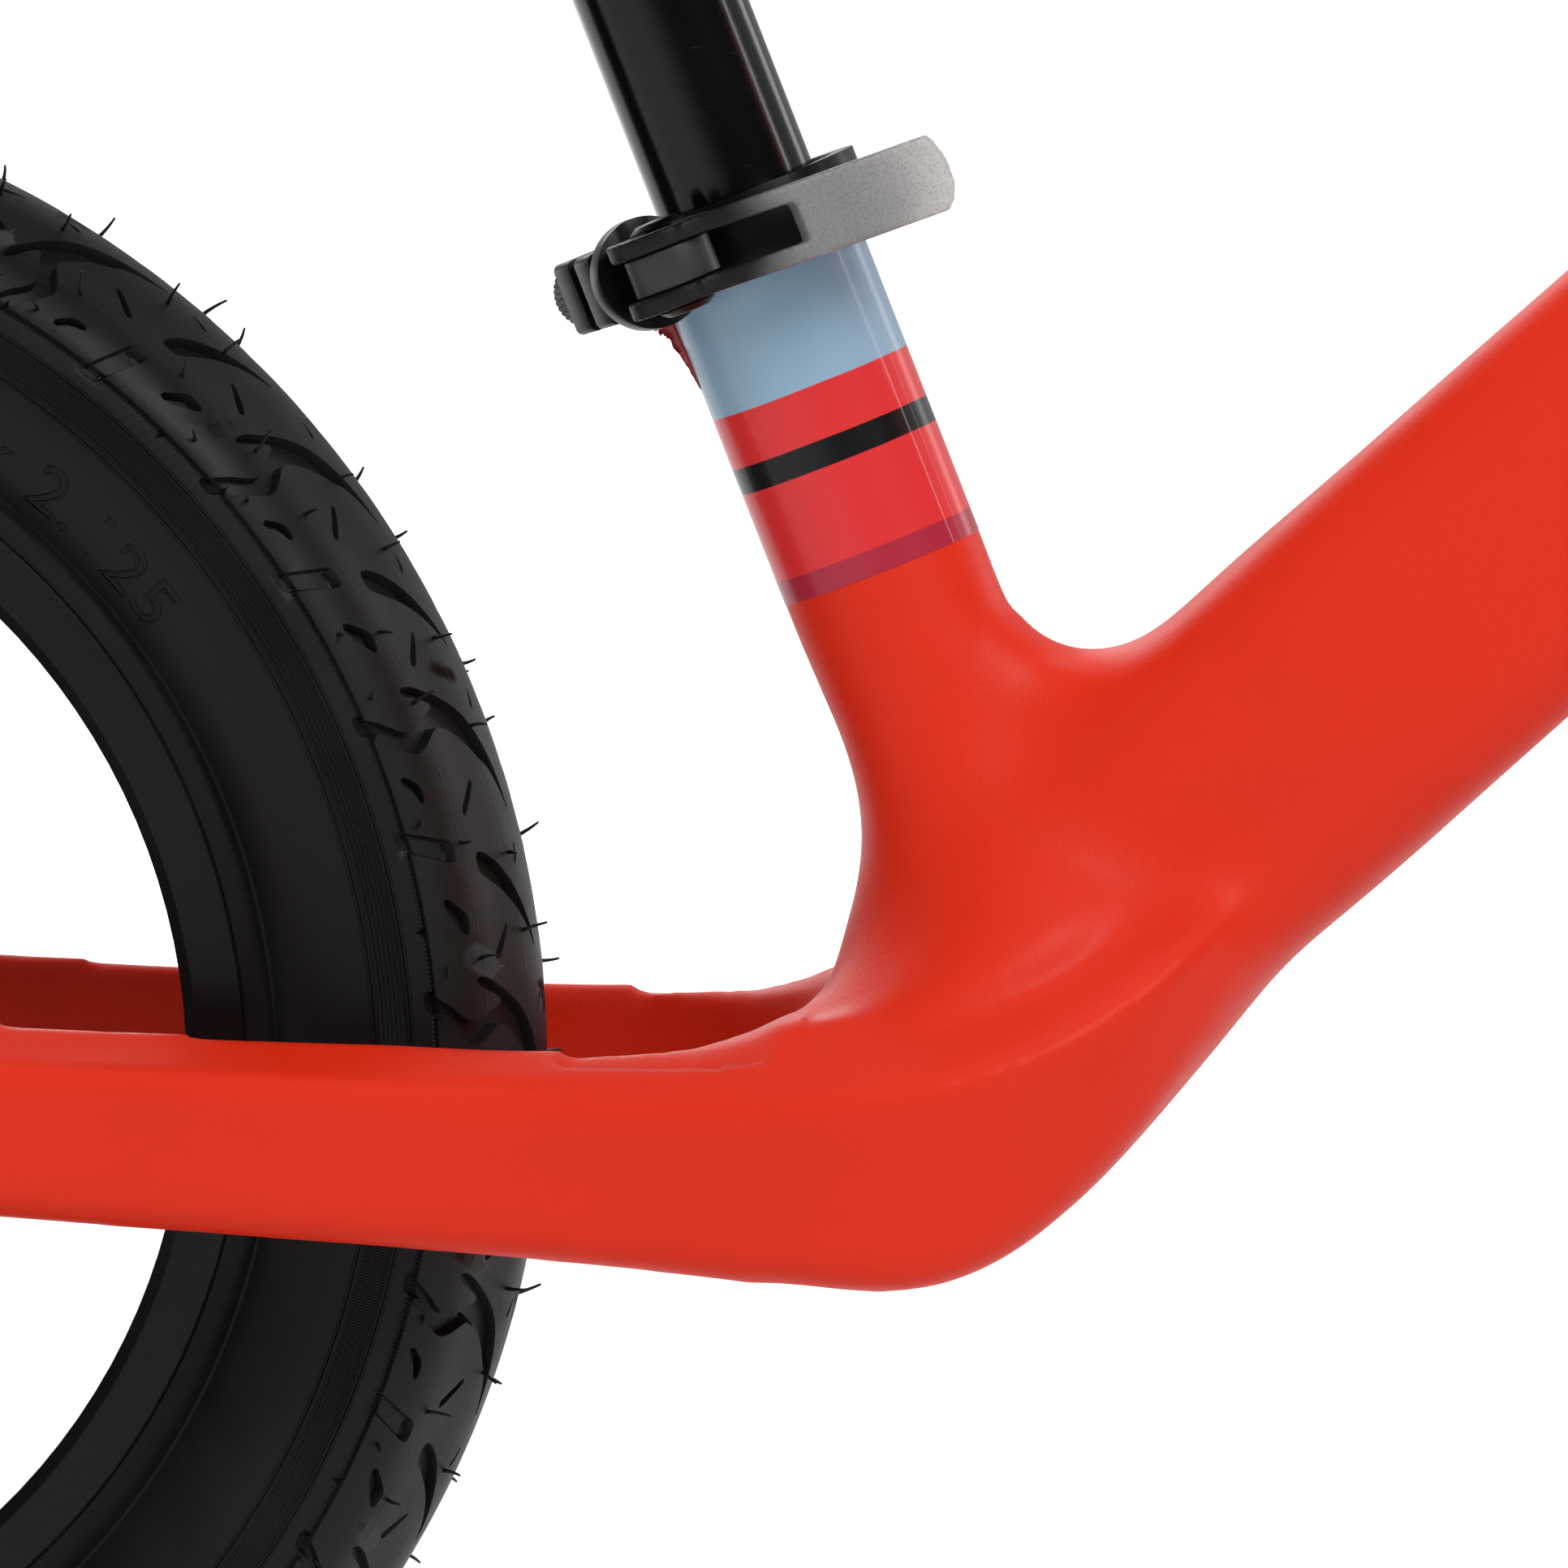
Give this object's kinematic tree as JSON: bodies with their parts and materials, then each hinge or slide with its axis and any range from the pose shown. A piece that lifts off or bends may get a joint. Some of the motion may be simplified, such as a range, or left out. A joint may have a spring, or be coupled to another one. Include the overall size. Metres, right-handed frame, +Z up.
{
  "type": "balance bike",
  "caption": "Child's balance bike with a cast frame forked round the rear wheel, a rigid fork, air tyres, a T-bar and a saddle on a quick-release post.",
  "frame": {"origin": "on the ground, midway along the bike's overall length and width at rest", "axes": "+X forward, +Y to the rider's left, +Z up"},
  "size_m": [0.867, 0.4032, 0.5967],
  "materials": {
    "frame_paint": "satin orange-red paint on cast magnesium",
    "wheel_plastic": "black moulded plastic",
    "tyre": "matt black moulded rubber",
    "butyl": "smooth black rubber",
    "bearing_steel": "ground steel",
    "steel": "zinc plated",
    "chrome": "bright plated",
    "aluminium": "bead-blasted grey",
    "black_metal": "black anodised",
    "black_paint": "gloss black",
    "grip_rubber": "soft matt black rubber",
    "saddle_plastic": "grained black plastic",
    "saddle_cover": "black leatherette"
  },
  "bodies": {
    "chassis": {"frame": "frame_paint", "headset_cups": "black_metal", "rear_axle": "steel", "rear_axle_spacers": "aluminium", "rear_axle_nuts": "chrome", "seat_collar": "black_metal", "qr_bolt": "steel", "qr_pin": "steel", "qr_pad": "black_metal"},
    "rear_wheel_set": {"rear_wheel": "wheel_plastic", "rear_tyre": "tyre", "rear_inner_tube": "butyl", "rear_hub_bearings": "bearing_steel"},
    "steering": {"fork": "frame_paint", "headset_bearings": "bearing_steel", "crown_race": "bearing_steel", "headset_cap": "black_metal", "bar_collar": "black_metal", "bar_collar_screw": "steel", "front_axle": "steel", "front_axle_spacers": "aluminium", "front_axle_nuts": "chrome"},
    "front_wheel_set": {"front_wheel": "wheel_plastic", "front_tyre": "tyre", "front_inner_tube": "butyl", "front_hub_bearings": "bearing_steel"},
    "bars": {"handlebar": "black_paint", "grips": "grip_rubber"},
    "saddle_set": {"seat_post": "black_paint", "saddle_bracket": "black_metal", "saddle_screws": "steel", "saddle_shell": "saddle_plastic", "saddle_cushion": "saddle_cover"},
    "clamp_lever": {"qr_lever": "aluminium"},
    "clamp_nut": {"qr_nut": "black_metal"}
  },
  "joints": [
    {"name": "rear_wheel_spin", "type": "hinge", "parent": "chassis", "child": "rear_wheel_set", "pos_m": [-0.2825, 0, 0.151], "axis": [0, 1, 0], "continuous": true},
    {"name": "steering_turn", "type": "hinge", "parent": "chassis", "child": "steering", "pos_m": [0.25916, 0, 0.14204], "axis": [-0.3584, 0, 0.9336], "continuous": true},
    {"name": "front_wheel_spin", "type": "hinge", "parent": "steering", "child": "front_wheel_set", "pos_m": [0.2825, 0, 0.151], "axis": [0, 1, 0], "continuous": true},
    {"name": "bar_height", "type": "slide", "parent": "steering", "child": "bars", "axis": [-0.3584, 0, 0.9336], "range_m": [-0.04, 0.04]},
    {"name": "seat_height", "type": "slide", "parent": "chassis", "child": "saddle_set", "axis": [-0.3673, 0, 0.9301], "range_m": [-0.036, 0.05]},
    {"name": "lever_swing", "type": "hinge", "parent": "chassis", "child": "clamp_lever", "pos_m": [-0.10787, -0.03126, 0.27698], "axis": [0.3673, 0, -0.9301], "range_deg": [0, 150]},
    {"name": "nut_turn", "type": "hinge", "parent": "chassis", "child": "clamp_nut", "pos_m": [-0.11857, -0.0121, 0.27276], "axis": [0.479, -0.8572, 0.1892], "continuous": true}
  ]
}
